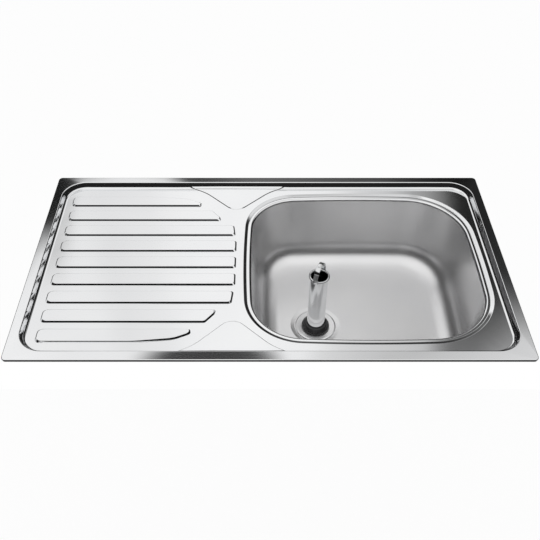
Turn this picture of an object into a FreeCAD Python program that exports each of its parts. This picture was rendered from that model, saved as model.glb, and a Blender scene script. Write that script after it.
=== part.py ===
import FreeCAD, Part
import Sketcher
import math
import os

# Inset kitchen sink with a ribbed drainboard on the left and one bowl on the right.
# Millimetres. X runs along the sink, -Y is the user's side, +Z is up.
# The origin is the middle of the sink on the worktop's surface; the rim stands above it.

DIMS = {
    # sheet and outline
    "length": 780, "width": 435, "outerRadius": 7, "gauge": 0.8,
    "rimTop": 5, "lipHeight": 3.8, "rimBandX": 16, "rimBandY": 16.5, "innerRadius": 39,
    "stepRun": 5, "stepDrop": 10.5, "rimRound": 1.8, "footRound": 4.5, "lipRound": 1.6,
    # drainer ribs and the two raised islands beside the bowl
    "ribPitch": 40, "ribWidth": 27, "ribRise": 2.5, "ribLeft": -353.3, "ribEnd": -54,
    "ribCorner": 7, "ribShift": -4, "ribLean": 0.45, "ribBow": 5, "slopeAngle": 35,
    "islandRise": 1.5, "islandX": -56.5, "islandTip": 125, "islandTipRound": 23,
    "islandArm": 57, "islandBend": 90, "islandEdge": 1,
    # bowl outline (inner edge of the mouth), its seat in the deck, and its depth
    "mouthLeft": -28, "mouthRight": 346, "mouthHalf": 167, "longSideRadius": 2400,
    "endRadius": 1900, "cornerLeft": 80, "cornerRight": 98, "seatGrow": 13, "seatDrop": 1.8,
    "seatRun": 3.5, "seatEdge": 5, "bowlFlange": 12, "bowlDepth": 150, "draft": 9, "floorRound": 42,
    "mouthRound": 5,
    # waste fitting, measured from the bowl's floor
    "drainX": 85, "drainY": -19.6, "drainDish": 1.6, "dishRadius": 37.2, "dishSlope": 7,
    "holeRadius": 25.2, "flangeRadius": 35.9, "tailRadius": 23.9, "tailBore": 20.6,
    "tailLength": 60, "tailInNut": 23.5, "tailFree": 17.4, "nutRadius": 33, "nutHeight": 10,
    "gasketHeight": 3, "washerHeight": 1.5, "flangeEdge": 0.8, "flangeDome": 0.9,
    # standpipe
    "pipeFoot": 15.8, "pipeTop": 15, "pipeWall": 1, "pipeHeight": 125, "pipeBelow": 14,
    "beadCentre": 15.7, "beadRadius": 2.1, "coneTop": 9.8, "coneRadius": 24.4, "coneBelow": 12.5,
    "strapWidth": 8, "strapGauge": 1, "strapRise": 24.7, "strapAngle": 64,
    # fixing rails, bolts, claws and wing nuts below the deck
    "railWidth": 10, "railHeight": 7, "railGauge": 1, "railSlot": 5.2, "railLong": 640,
    "railShort": 300, "railX": 365.2, "railY": 191, "boltRadius": 2.5, "boltLength": 54,
    "headWidth": 7.4, "headHeight": 3, "clawWidth": 14, "clawGauge": 2, "clawReach": 24.5,
    "clawBack": 8, "clawRise": 8, "clawLevel": -46, "clawHole": 2.8, "nutBore": 2.6,
    "nutHub": 5.2, "nutTall": 6.5, "wingSpan": 13, "wingRise": 9, "wingGauge": 1.8,
    "clampX": 215, "clampGap": 0.1,
    # soft strips and pads
    "sealWidth": 8, "sealInset": 1.2, "sealHeight": 2.5, "padLength": 140, "padWidth": 170,
    "padHeight": 2.5, "padX": 210,
}

doc = FreeCAD.newDocument("KitchenSink")
sheet = doc.addObject("Spreadsheet::Sheet", "Dims")
for row, (alias, number) in enumerate(DIMS.items(), 1):
    sheet.set(f"A{row}", alias)
    sheet.set(f"B{row}", str(number))
    sheet.setAlias(f"B{row}", alias)
doc.recompute()

PARTS = []
floorLevel = "(Dims.rimTop - Dims.bowlDepth)"
deckLevel = "(Dims.rimTop - Dims.stepDrop)"
deckUnder = "(Dims.rimTop - Dims.stepDrop - Dims.gauge)"
# a sloped wall of even gauge is this much wider when it is measured level
wallSpan = "(Dims.gauge * sqrt(1 + (Dims.stepRun / Dims.stepDrop) ^ 2))"
wallLean = "(Dims.stepRun / Dims.stepDrop)"
slopeShift = "(Dims.gauge * tan((90 - Dims.slopeAngle) / 2))"
innerX = "(Dims.length / 2 - Dims.rimBandX)"
innerY = "(Dims.width / 2 - Dims.rimBandY)"


def size(expression):
    """The number that an expression of the sheet's cells comes to."""
    result = sheet.evalExpression(expression.replace("Dims.", "."))
    return float(getattr(result, "Value", result))


# ---------------------------------------------------------------- sketches

def newBody(label, x="0", y="0", z="0", turn=0):
    """A sub-part with its own place: a shift bound to the sheet and a turn about Z."""
    body = doc.addObject("PartDesign::Body", label)
    body.Label = label
    body.Placement = FreeCAD.Placement(FreeCAD.Vector(), FreeCAD.Rotation(turn, 0, 0))
    for axis, place in (("x", x), ("y", y), ("z", z)):
        body.setExpression(f"Placement.Base.{axis}", place)
    PARTS.append(body)
    return body


def newSketch(body, name, level="0", plane="XY_Plane"):
    sketch = body.newObject("Sketcher::SketchObject", name)
    origin = next(f for f in body.Origin.OriginFeatures if f.Role == plane)
    sketch.AttachmentSupport = [(origin, "")]
    sketch.MapMode = "FlatFace"
    sketch.setExpression("AttachmentOffset.Base.z", level)
    return sketch


def bind(sketch, constraint, name, expression):
    """Add a dimension to the sketch and tie it to the sheet."""
    index = sketch.addConstraint(constraint)
    sketch.renameConstraint(index, name)
    sketch.setExpression(f"Constraints.{name}", expression)


def arcBetween(centre, radius, start, end):
    circle = Part.Circle(FreeCAD.Vector(*centre, 0), FreeCAD.Vector(0, 0, 1), radius)
    first = math.atan2(start[1] - centre[1], start[0] - centre[0])
    last = math.atan2(end[1] - centre[1], end[0] - centre[0])
    return Part.ArcOfCircle(circle, first, last)


def roundedRect(sketch, halfX, halfY, radius, tag=""):
    """A rectangle about the sketch's origin with four equal round corners."""
    a, b, r = size(halfX), size(halfY), size(radius)
    corners = [(a, b, 1, 1), (-a, b, -1, 1), (-a, -b, -1, -1), (a, -b, 1, -1)]
    arcs, tips = [], []
    for x, y, sx, sy in corners:
        level, upright = (x - sx * r, y), (x, y - sy * r)
        first, last = (upright, level) if sx == sy else (level, upright)
        arcs.append(sketch.addGeometry(arcBetween((x - sx * r, y - sy * r), r, first, last)))
        tips.append((first, last))
    for k in range(4):
        start, end = tips[k][1], tips[(k + 1) % 4][0]
        line = sketch.addGeometry(Part.LineSegment(FreeCAD.Vector(*start, 0),
                                                   FreeCAD.Vector(*end, 0)))
        sketch.addConstraint(Sketcher.Constraint("Tangent", arcs[k], 2, line, 1))
        sketch.addConstraint(Sketcher.Constraint("Tangent", line, 2, arcs[(k + 1) % 4], 1))
        if k % 2:
            sketch.addConstraint(Sketcher.Constraint("Vertical", line))
        else:
            sketch.addConstraint(Sketcher.Constraint("Horizontal", line))
        if k:
            sketch.addConstraint(Sketcher.Constraint("Equal", arcs[0], arcs[k]))
    top, left, bottom, right = arcs
    bind(sketch, Sketcher.Constraint("Radius", arcs[0], r), "corner" + tag, radius)
    bind(sketch, Sketcher.Constraint("DistanceY", -1, 1, top, 2, b), "back" + tag, halfY)
    bind(sketch, Sketcher.Constraint("DistanceX", left, 2, -1, 1, a), "left" + tag, halfX)
    bind(sketch, Sketcher.Constraint("DistanceY", bottom, 2, -1, 1, b), "front" + tag, halfY)
    bind(sketch, Sketcher.Constraint("DistanceX", -1, 1, right, 2, a), "right" + tag, halfX)


def circle(sketch, radius, name, x="0", y="0"):
    centre = FreeCAD.Vector(size(x), size(y), 0)
    ring = sketch.addGeometry(Part.Circle(centre, FreeCAD.Vector(0, 0, 1), size(radius)))
    bind(sketch, Sketcher.Constraint("Radius", ring, size(radius)), name, radius)
    if (x, y) == ("0", "0"):
        sketch.addConstraint(Sketcher.Constraint("Coincident", ring, 3, -1, 1))


def bowlOutline(sketch, grow="0"):
    """Four gently bulged sides and four tangent corners, grown evenly outwards."""
    g = size(grow)
    left, right, half = size("Dims.mouthLeft"), size("Dims.mouthRight"), size("Dims.mouthHalf")
    middle = (left + right) / 2
    longR, endR = size("Dims.longSideRadius"), size("Dims.endRadius")
    sides = [((right - endR, 0), endR), ((middle, half - longR), longR),
             ((left + endR, 0), endR), ((middle, longR - half), longR)]
    tight, wide = size("Dims.cornerLeft"), size("Dims.cornerRight")
    cornerR = [wide, tight, tight, wide]
    corners = []
    for k in range(4):
        (c1, r1), (c2, r2), r = sides[k], sides[(k + 1) % 4], cornerR[k]
        guess = (right if k in (0, 3) else left, half if k < 2 else -half)
        corners.append((meetCircles(c1, r1 - r, c2, r2 - r, guess), r))
    touch = []
    for k in range(4):
        before, after = sides[k], sides[(k + 1) % 4]
        centre = corners[k][0]
        touch.append((along(before, centre, g), along(after, centre, g)))
    sideArcs, cornerArcs = [], []
    for k in range(4):
        centre, radius = sides[k]
        sideArcs.append(sketch.addGeometry(
            arcBetween(centre, radius + g, touch[k - 1][1], touch[k][0])))
        centre, radius = corners[k]
        cornerArcs.append(sketch.addGeometry(
            arcBetween(centre, radius + g, touch[k][0], touch[k][1])))
    for k in range(4):
        sketch.addConstraint(Sketcher.Constraint("Tangent", sideArcs[k], 2, cornerArcs[k], 1))
        sketch.addConstraint(
            Sketcher.Constraint("Tangent", cornerArcs[k], 2, sideArcs[(k + 1) % 4], 1))
        long = k % 2
        radiusCell = "Dims.longSideRadius" if long else "Dims.endRadius"
        bind(sketch, Sketcher.Constraint("Radius", sideArcs[k], sides[k][1] + g),
             f"sideRadius{k}", f"{radiusCell} + {grow}")
        cornerCell = "Dims.cornerRight" if k in (0, 3) else "Dims.cornerLeft"
        bind(sketch, Sketcher.Constraint("Radius", cornerArcs[k], corners[k][1] + g),
             f"cornerRadius{k}", f"{cornerCell} + {grow}")
    # the end arcs' centres lie on the X axis, the long arcs' centres above one another
    for arc, first, expression in ((0, False, "Dims.endRadius - Dims.mouthRight"),
                                   (2, True, "Dims.endRadius + Dims.mouthLeft")):
        sketch.addConstraint(Sketcher.Constraint("PointOnObject", sideArcs[arc], 3, -1))
        ends = (-1, 1, sideArcs[arc], 3) if first else (sideArcs[arc], 3, -1, 1)
        bind(sketch, Sketcher.Constraint("DistanceX", *ends, size(expression)),
             f"endCentre{arc}", expression)
    for arc, first in ((1, False), (3, True)):
        away = (-1, 1, sideArcs[arc], 3) if first else (sideArcs[arc], 3, -1, 1)
        bind(sketch, Sketcher.Constraint("DistanceX", -1, 1, sideArcs[arc], 3, middle),
             f"longCentreX{arc}", "(Dims.mouthLeft + Dims.mouthRight) / 2")
        bind(sketch, Sketcher.Constraint("DistanceY", *away, longR - half),
             f"longCentreY{arc}", "Dims.longSideRadius - Dims.mouthHalf")


def along(side, centre, grow):
    """The point where the line from a side's centre through a corner's centre meets it."""
    (x, y), radius = side
    dx, dy = centre[0] - x, centre[1] - y
    scale = (radius + grow) / math.hypot(dx, dy)
    return (x + dx * scale, y + dy * scale)


def meetCircles(c1, r1, c2, r2, near):
    """The crossing of two circles that lies nearer to a given point."""
    dx, dy = c2[0] - c1[0], c2[1] - c1[1]
    apart = math.hypot(dx, dy)
    a = (r1 * r1 - r2 * r2 + apart * apart) / (2 * apart)
    h = math.sqrt(r1 * r1 - a * a)
    mx, my = c1[0] + a * dx / apart, c1[1] + a * dy / apart
    options = [(mx - h * dy / apart, my + h * dx / apart),
               (mx + h * dy / apart, my - h * dx / apart)]
    return min(options, key=lambda p: math.dist(p, near))


def loop(sketch, corners, inset=0.0):
    """A closed outline of straight runs with rounded corners: (x, y, radius), anticlockwise.

    inset moves every run inwards by that much and keeps the rounds concentric."""
    count = len(corners)
    runs = []
    for k in range(count):
        (x1, y1, _), (x2, y2, _) = corners[k], corners[(k + 1) % count]
        length = math.dist((x1, y1), (x2, y2))
        ux, uy = (x2 - x1) / length, (y2 - y1) / length
        runs.append((x1 - uy * inset, y1 + ux * inset, ux, uy))
    points = []
    for k in range(count):
        ax, ay, aux, auy = runs[k - 1]
        bx, by, bux, buy = runs[k]
        cross = aux * buy - auy * bux
        t = ((bx - ax) * buy - (by - ay) * bux) / cross
        radius = max(corners[k][2] - math.copysign(inset, cross), 0.0) if corners[k][2] else 0.0
        points.append((ax + aux * t, ay + auy * t, radius, cross))
    ends = []
    for k in range(count):
        x, y, radius, cross = points[k]
        aux, auy = runs[k - 1][2:]
        bux, buy = runs[k][2:]
        reach = radius * math.tan(math.acos(max(-1, min(1, aux * bux + auy * buy))) / 2)
        start, end = (x - aux * reach, y - auy * reach), (x + bux * reach, y + buy * reach)
        if radius:
            side = math.copysign(radius, cross)
            centre = (start[0] - auy * side, start[1] + aux * side)
            first, last = (start, end) if cross > 0 else (end, start)
            sketch.addGeometry(arcBetween(centre, radius, first, last))
        ends.append((start, end))
    for k in range(count):
        start, end = ends[k][1], ends[(k + 1) % count][0]
        if math.dist(start, end) > 1e-6:
            sketch.addGeometry(Part.LineSegment(FreeCAD.Vector(*start, 0),
                                                FreeCAD.Vector(*end, 0)))


def strip(sketch, path, gauge):
    """The outline of a strip of even gauge, bent along a path of (x, y, inner radius)."""
    shift = gauge / 2
    sides = []
    for sign in (-1, 1):
        side = []
        for k, (x, y, radius) in enumerate(path):
            before = path[k - 1] if k else None
            after = path[k + 1] if k + 1 < len(path) else None
            normals = []
            for p, q in ((before, path[k]), (path[k], after)):
                if p and q:
                    length = math.dist(p[:2], q[:2])
                    normals.append((-(q[1] - p[1]) / length, (q[0] - p[0]) / length))
            nx, ny = sum(n[0] for n in normals), sum(n[1] for n in normals)
            scale = sign * shift * len(normals) / (nx * nx + ny * ny)
            if len(normals) == 2:
                turn = normals[0][0] * normals[1][1] - normals[0][1] * normals[1][0]
                inside = turn * sign > 0
                radius = radius if inside else radius + gauge
            side.append((x + nx * scale, y + ny * scale, radius))
        sides.append(side)
    loop(sketch, sides[0] + sides[1][::-1])


# ---------------------------------------------------------------- features

def feature(body, kind, name, **settings):
    made = body.newObject(kind, name)
    for key, setting in settings.items():
        setattr(made, key, setting)
    body.Tip = made
    return made


def pad(body, sketch, length, slope=None, down=False, middle=False):
    made = feature(body, "PartDesign::Pad", "Pad_" + sketch.Name, Profile=sketch,
                   Reversed=down, Midplane=middle)
    made.setExpression("Length", length)
    if slope:
        made.setExpression("TaperAngle", slope)
    return made


def pocket(body, sketch, depth, up=False, slope=None, middle=False):
    """Cut downwards from the sketch, or upwards, and make sure that it cuts."""
    doc.recompute()
    before = body.Shape.Volume
    made = feature(body, "PartDesign::Pocket", "Pocket_" + sketch.Name, Profile=sketch,
                   Reversed=up, Midplane=middle)
    made.setExpression("Length", depth)
    if slope:
        made.setExpression("TaperAngle", slope)
    doc.recompute()
    if not body.Shape.Volume < before - 1e-6:
        raise RuntimeError(f"{made.Name} cuts nothing from {body.Label}")
    return made


def loft(body, kind, sketches):
    return feature(body, f"PartDesign::{kind}Loft", f"Loft_{sketches[0].Name}",
                   Profile=sketches[0], Sections=sketches[1:], Ruled=True)


def revolve(body, sketch):
    return feature(body, "PartDesign::Revolution", "Revolve_" + sketch.Name, Profile=sketch,
                   ReferenceAxis=(sketch, ["V_Axis"]), Angle=360)


def fillet(body, radius, chosen):
    """Round the edges whose box and shape pass the given test."""
    doc.recompute()
    base = body.Tip
    names = [f"Edge{k}" for k, edge in enumerate(base.Shape.Edges, 1) if chosen(edge)]
    if not names:
        raise RuntimeError(f"no edge to round on {body.Label}")
    made = feature(body, "PartDesign::Fillet", f"Round_{base.Name}", Base=(base, names))
    made.setExpression("Radius", radius)
    doc.recompute()
    return made


def flatAt(level, also=lambda edge: True):
    """A test for level edges at one height that pass another test too."""
    height = size(level)

    def test(edge):
        box = edge.BoundBox
        return max(abs(box.ZMin - height), abs(box.ZMax - height)) < 1e-3 and also(edge)
    return test


def nearTo(sketch, reach=2):
    """A test for edges that run close to a sketch's outline."""
    return lambda edge: sketch.Shape.distToShape(edge)[0] < reach


# ---------------------------------------------------------------- sink top

def ribOutlines():
    """The drainer's nine ribs: the ends follow the bowl and, outermost, sweep to the rim."""
    pitch, half = size("Dims.ribPitch"), size("Dims.ribWidth") / 2
    end, r = size("Dims.ribEnd"), size("Dims.ribCorner")
    shift, bow = size("Dims.ribShift"), size("Dims.ribBow")
    # right-hand ends, from the side by the sink's middle outwards: (x, y from the rib, round)
    straight = [(end, -half, 4), (end, half, 4)]
    bowed = [(end - 0.4 * bow, -half, 4), (end - bow, half, 4)]
    cut = [(end - 28.5, -half, 3), (end - 30.5, -4, 5), (end - 44.5, half, 4)]
    swept = [(end - 66.5, -half, 3), (end - 64.5, -4, 5), (end - 90, 7.5, 50),
             (end - 150, half, 200)]
    outlines = []
    for k in range(-4, 5):
        side = -1 if k < 0 else 1
        tip = (straight, straight, bowed, cut, swept)[abs(k)]
        left = size("Dims.ribLeft") - size("Dims.ribLean") * k
        corners = [(left, -half, r)] + tip + [(left, half, r)]
        placed = [(x, k * pitch + side * v + shift, radius) for x, v, radius in corners]
        outlines.append(placed if side > 0 else placed[::-1])
    return outlines


def islandOutline(side, edge):
    """A raised field that narrows from the rim to a round tip between drainer and bowl."""
    x, tip, arm = size("Dims.islandX"), size("Dims.islandTip"), size("Dims.islandArm")
    bend = size("Dims.islandBend")
    flare = 2 * (edge - tip - arm)
    corners = [(x, tip, size("Dims.islandTipRound")), (x + arm + 2, tip + arm, bend),
               (x + arm + flare, edge, 0), (x - arm - flare, edge, 0), (x - arm, tip + arm, bend)]
    flipped = [(u, side * v, radius) for u, v, radius in corners]
    return flipped if side > 0 else flipped[::-1]


def sinkTop():
    """The pressed top: rolled rim, stepped tray, ribs, islands and the bowl's seat."""
    body = newBody("sink_top")
    # hollow rim, sloping gently down to its turned lip
    lip = newSketch(body, "LipOutline")
    roundedRect(lip, "Dims.length / 2", "Dims.width / 2", "Dims.outerRadius")
    pad(body, lip, "Dims.lipHeight")
    shoulder = newSketch(body, "RimShoulder", "Dims.lipHeight")
    roundedRect(shoulder, "Dims.length / 2", "Dims.width / 2", "Dims.outerRadius")
    crown = newSketch(body, "RimCrown", "Dims.rimTop")
    roundedRect(crown, innerX, innerY, "Dims.innerRadius")
    loft(body, "Additive", [shoulder, crown])
    fillet(body, "Dims.lipRound", flatAt("Dims.lipHeight"))
    under = newSketch(body, "RimUnder")
    roundedRect(under, "Dims.length / 2 - Dims.gauge", "Dims.width / 2 - Dims.gauge",
                "Dims.outerRadius - Dims.gauge")
    pocket(body, under, "Dims.lipHeight - Dims.gauge - 0.4", up=True)
    underEdge = newSketch(body, "RimUnderEdge", "Dims.lipHeight - Dims.gauge - 0.4")
    roundedRect(underEdge, "Dims.length / 2 - Dims.gauge", "Dims.width / 2 - Dims.gauge",
                "Dims.outerRadius - Dims.gauge")
    underCrown = newSketch(body, "RimUnderCrown", "Dims.rimTop - Dims.gauge")
    roundedRect(underCrown, innerX, innerY, "Dims.innerRadius")
    loft(body, "Subtractive", [underEdge, underCrown])
    # the stepped tray: a tapered block, then the same form cut from above
    trayTop = newSketch(body, "TrayTop", "Dims.rimTop - Dims.gauge / 2")
    reach = f"{innerX} + {wallSpan} - Dims.gauge / 2 * {wallLean}"
    reachY = f"{innerY} + {wallSpan} - Dims.gauge / 2 * {wallLean}"
    roundedRect(trayTop, reach, reachY, "Dims.innerRadius")
    trayFoot = newSketch(body, "TrayFoot", deckUnder)
    drop = f"(Dims.stepDrop + Dims.gauge) * {wallLean}"
    roundedRect(trayFoot, f"{innerX} + {wallSpan} - {drop}", f"{innerY} + {wallSpan} - {drop}",
                "Dims.innerRadius - Dims.stepRun")
    loft(body, "Additive", [trayTop, trayFoot])
    # the seat for the bowl hangs a little below the tray
    seatBlock = newSketch(body, "SeatBlock", deckUnder + " + Dims.gauge / 2")
    bowlOutline(seatBlock, "(Dims.seatGrow + Dims.gauge / 2)")
    seatUnder = newSketch(body, "SeatUnder", deckUnder + " - Dims.seatDrop")
    bowlOutline(seatUnder, "(Dims.seatGrow - Dims.seatRun)")
    loft(body, "Additive", [seatBlock, seatUnder])
    wellTop = newSketch(body, "WellTop", "Dims.rimTop")
    roundedRect(wellTop, innerX, innerY, "Dims.innerRadius")
    wellFoot = newSketch(body, "WellFoot", deckLevel)
    roundedRect(wellFoot, f"{innerX} - Dims.stepRun", f"{innerY} - Dims.stepRun",
                "Dims.innerRadius - Dims.stepRun")
    loft(body, "Subtractive", [wellTop, wellFoot])
    fillet(body, "Dims.rimRound", flatAt("Dims.rimTop"))
    fillet(body, "Dims.footRound",
           flatAt(deckLevel, nearTo(wellFoot)))
    # pressed forms: raised from above and hollow by the same amount below
    ribs = newSketch(body, "Ribs", deckLevel)
    ribsUnder = newSketch(body, "RibsUnder", deckUnder)
    for outline in ribOutlines():
        loop(ribs, outline)
        loop(ribsUnder, outline, size(slopeShift))
    pad(body, ribs, "Dims.ribRise", slope="-Dims.slopeAngle")
    islands = newSketch(body, "Islands", deckLevel)
    islandsUnder = newSketch(body, "IslandsUnder", deckUnder)
    edge = size(innerY) - size("Dims.stepRun") + size("Dims.gauge")
    for side in (1, -1):
        loop(islands, islandOutline(side, edge))
        loop(islandsUnder, islandOutline(side, edge - 4), size("Dims.gauge"))
    pad(body, islands, "Dims.islandRise")
    fillet(body, "Dims.islandEdge",
           flatAt(f"{deckLevel} + Dims.islandRise",
                  lambda e: abs(e.BoundBox.Center.y) < edge - 0.5))
    pocket(body, ribsUnder, "Dims.ribRise", up=True, slope="-Dims.slopeAngle")
    pocket(body, islandsUnder, "Dims.islandRise", up=True)
    # the bowl's seat: a shallow step, then the opening
    seat = newSketch(body, "Seat", deckLevel)
    bowlOutline(seat, "Dims.seatGrow")
    seatFoot = newSketch(body, "SeatFoot", deckLevel + " - Dims.seatDrop")
    bowlOutline(seatFoot, "(Dims.seatGrow - Dims.seatRun)")
    loft(body, "Subtractive", [seat, seatFoot])
    opening = newSketch(body, "Opening", deckLevel)
    bowlOutline(opening, "(Dims.seatGrow - Dims.seatEdge)")
    pocket(body, opening, "2 * Dims.stepDrop")
    return body


# ---------------------------------------------------------------- bowl

def bowl():
    """A deep-drawn bowl with bulged drafted sides, a wide floor round and a dished waste."""
    body = newBody("bowl", z=f"{deckUnder} - Dims.seatDrop")
    level = "(Dims.bowlDepth - Dims.stepDrop - Dims.gauge - Dims.seatDrop)"
    flange = newSketch(body, "Flange")
    bowlOutline(flange, "Dims.bowlFlange")
    pad(body, flange, "Dims.gauge", down=True)
    outerTop = newSketch(body, "OuterTop", "-Dims.gauge / 2")
    bowlOutline(outerTop, "Dims.gauge")
    outerFoot = newSketch(body, "OuterFoot", f"-{level} - Dims.gauge")
    bowlOutline(outerFoot, "(Dims.gauge - Dims.draft)")
    loft(body, "Additive", [outerTop, outerFoot])
    innerTop = newSketch(body, "InnerTop")
    bowlOutline(innerTop)
    innerFoot = newSketch(body, "InnerFoot", f"-{level}")
    bowlOutline(innerFoot, "(-Dims.draft)")
    loft(body, "Subtractive", [innerTop, innerFoot])
    fillet(body, "Dims.floorRound", flatAt(f"-{level}"))
    fillet(body, "Dims.floorRound + Dims.gauge", flatAt(f"-{level} - Dims.gauge"))
    fillet(body, "Dims.mouthRound - Dims.gauge", flatAt("-Dims.gauge", nearTo(outerTop)))
    fillet(body, "Dims.mouthRound", flatAt("0", nearTo(innerTop)))
    # dished seat of the waste fitting, standing out below the floor
    dish = newSketch(body, "DishOutside", f"-{level} - Dims.gauge / 2")
    circle(dish, "Dims.dishRadius + Dims.gauge + Dims.dishSlope", "rimOfDish",
           "Dims.drainX", "Dims.drainY")
    dishFoot = newSketch(body, "DishOutsideFoot", f"-{level} - Dims.gauge - Dims.drainDish")
    circle(dishFoot, "Dims.dishRadius + Dims.gauge", "footOfDish", "Dims.drainX", "Dims.drainY")
    loft(body, "Additive", [dish, dishFoot])
    cutTop = newSketch(body, "DishInside", f"-{level}")
    circle(cutTop, "Dims.dishRadius + Dims.dishSlope", "rimOfCut", "Dims.drainX", "Dims.drainY")
    cutFoot = newSketch(body, "DishInsideFoot", f"-{level} - Dims.drainDish")
    circle(cutFoot, "Dims.dishRadius", "footOfCut", "Dims.drainX", "Dims.drainY")
    loft(body, "Subtractive", [cutTop, cutFoot])
    hole = newSketch(body, "WasteHole", f"-{level}")
    circle(hole, "Dims.holeRadius", "hole", "Dims.drainX", "Dims.drainY")
    pocket(body, hole, "10 * Dims.gauge")
    return body


# ---------------------------------------------------------------- waste and standpipe

DRAIN = {"x": "Dims.drainX", "y": "Dims.drainY", "z": floorLevel}


def turned(label, corners, place=DRAIN):
    """A ring or tube turned about the drain's axis from a profile of (radius, height, round)."""
    body = newBody(label, **place)
    profile = newSketch(body, "Profile", plane="XZ_Plane")
    loop(profile, corners)
    revolve(body, profile)
    return body


def wasteFlange():
    """Flange with a dished top, conical seat for the standpipe and a threaded tail below."""
    outer, tail, bore = size("Dims.flangeRadius"), size("Dims.tailRadius"), size("Dims.tailBore")
    foot, collar = -size("Dims.tailLength"), size("Dims.holeRadius") - 0.2
    inNut, free = size("Dims.tailInNut"), -size("Dims.tailFree")
    edge, dome = size("Dims.flangeEdge"), size("Dims.flangeDome")
    sheetUnder = -size("Dims.drainDish") - size("Dims.gauge")
    return turned("waste_flange", [
        (bore, foot, 0), (tail, foot, 0.6), (tail, free, 0), (inNut, free, 0),
        (inNut, sheetUnder, 0), (collar, sheetUnder + 0.3, 0), (collar, -edge, 0),
        (outer - edge, -edge, 0), (outer, 0, 0.3), (outer - 2.2, dome, 1.2),
        (collar - 1.8, -0.3, 1), (bore + 0.8, -4, 2), (bore, -13, 2)])


def flangeGasket():
    """Thin rubber ring between the flange and the dished floor."""
    outer, hole = size("Dims.flangeRadius") - 0.9, size("Dims.holeRadius")
    top, under = -size("Dims.flangeEdge"), -size("Dims.drainDish")
    return turned("flange_gasket", [(hole, under, 0), (outer, under, 0), (outer, top, 0),
                                    (hole, top, 0)])


def underWaste():
    """What clamps the flange to the bowl from below: rubber ring, slip washer and backnut."""
    level = -size("Dims.drainDish") - size("Dims.gauge")
    thread = size("Dims.tailInNut") + 0.1
    wide = size("Dims.nutRadius")
    rubber = level - size("Dims.gasketHeight")
    slip = rubber - size("Dims.washerHeight")
    foot = slip - size("Dims.nutHeight")
    turned("lower_gasket", [(thread, rubber, 0), (wide + 2, rubber, 1), (wide + 3, level, 1),
                            (thread, level, 0)])
    turned("slip_washer", [(thread, slip, 0), (wide + 1, slip, 0), (wide + 1, rubber, 0),
                           (thread, rubber, 0)])
    nut = turned("backnut", [(thread, foot, 0), (wide - 4, foot, 1), (wide - 4, slip - 3, 1),
                             (wide, slip - 2, 0.6), (wide, slip, 0), (thread, slip, 0)])
    # eight gripping lugs round the nut
    lug = newSketch(nut, "Lug", f"{foot}")
    loop(lug, [(wide - 5, -3, 0), (wide - 0.6, -3, 1.5), (wide - 0.6, 3, 1.5), (wide - 5, 3, 0)])
    grip = pad(nut, lug, "Dims.nutHeight - 1")
    pattern = feature(nut, "PartDesign::PolarPattern", "Lugs", Originals=[grip],
                      Axis=(lug, ["N_Axis"]), Angle=360, Occurrences=8)
    nut.Tip = pattern


def standpipe():
    """Overflow tube with a rolled top, its rubber cone and the strap that lifts it."""
    foot, top, wall = size("Dims.pipeFoot"), size("Dims.pipeTop"), size("Dims.pipeWall")
    low = -size("Dims.pipeBelow")
    bead, r = size("Dims.beadCentre"), size("Dims.beadRadius")
    high = size("Dims.pipeHeight") - r
    tube = turned("standpipe_tube", [
        (foot - wall, low, 0), (foot, low, 0.4), (foot, 6, 0), (top, high, 0),
        (top - wall, high, 0), (foot - wall, 6, 0)])
    rolled = newSketch(tube, "RolledTop", plane="XZ_Plane")
    circle(rolled, "Dims.beadRadius", "bead", "Dims.beadCentre", "Dims.pipeHeight - Dims.beadRadius")
    rolled.addConstraint(Sketcher.Constraint("DistanceX", -1, 1, 0, 3, bead))
    rolled.addConstraint(Sketcher.Constraint("DistanceY", -1, 1, 0, 3, high))
    revolve(tube, rolled)
    wide, rise, below = size("Dims.coneRadius"), size("Dims.coneTop"), size("Dims.coneBelow")
    hug = foot + 0.1
    turned("standpipe_cone", [
        (hug, -below, 0), (hug + 4.2, -below, 0.8), (hug + 5, -4.4, 2), (wide - 1.9, 0.1, 0),
        (wide, 0.4, 0.8), (wide - 0.4, 3.4, 2.5), (hug + 3, rise - 0.4, 2), (hug, rise, 0)])
    # the strap hooks under the rolled top on both sides and arches over the mouth
    strapBody = newBody("lift_strap", "Dims.drainX", "Dims.drainY",
                        f"{floorLevel} + Dims.pipeHeight - Dims.beadRadius",
                        size("Dims.strapAngle"))
    gauge, peak = size("Dims.strapGauge"), size("Dims.strapRise")
    out = bead + r + gauge / 2 + 0.1
    under = -r - gauge / 2 - 0.1
    half = [(bead, under, 0), (out, under, 2), (out, 5, 12), (out - 6.2, peak, 13)]
    path = half + [(-x, z, radius) for x, z, radius in half[::-1]]
    profile = newSketch(strapBody, "StrapProfile", plane="XZ_Plane")
    strip(profile, path, gauge)
    pad(strapBody, profile, "Dims.strapWidth", middle=True)


# ---------------------------------------------------------------- fixings

def rails():
    """C-shaped rails welded below the tray, one along each side."""
    height, gauge = size("Dims.railHeight"), size("Dims.railGauge")
    side = (size("Dims.railWidth") - gauge) / 2
    lip = size("Dims.railSlot") / 2
    path = [(-lip, -height + gauge / 2, 0), (-side, -height + gauge / 2, 0.4),
            (-side, -gauge / 2, 0.4), (side, -gauge / 2, 0.4),
            (side, -height + gauge / 2, 0.4), (lip, -height + gauge / 2, 0)]
    for name, x, y, turn, length in (
            ("rail_front", "0", "-Dims.railY", 90, "Dims.railLong"),
            ("rail_back", "0", "Dims.railY", 90, "Dims.railLong"),
            ("rail_left", "-Dims.railX", "0", 0, "Dims.railShort"),
            ("rail_right", "Dims.railX", "0", 0, "Dims.railShort")):
        body = newBody(name, x, y, deckUnder, turn)
        profile = newSketch(body, "Channel", plane="XZ_Plane")
        strip(profile, path, gauge)
        pad(body, profile, length, middle=True)


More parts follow.
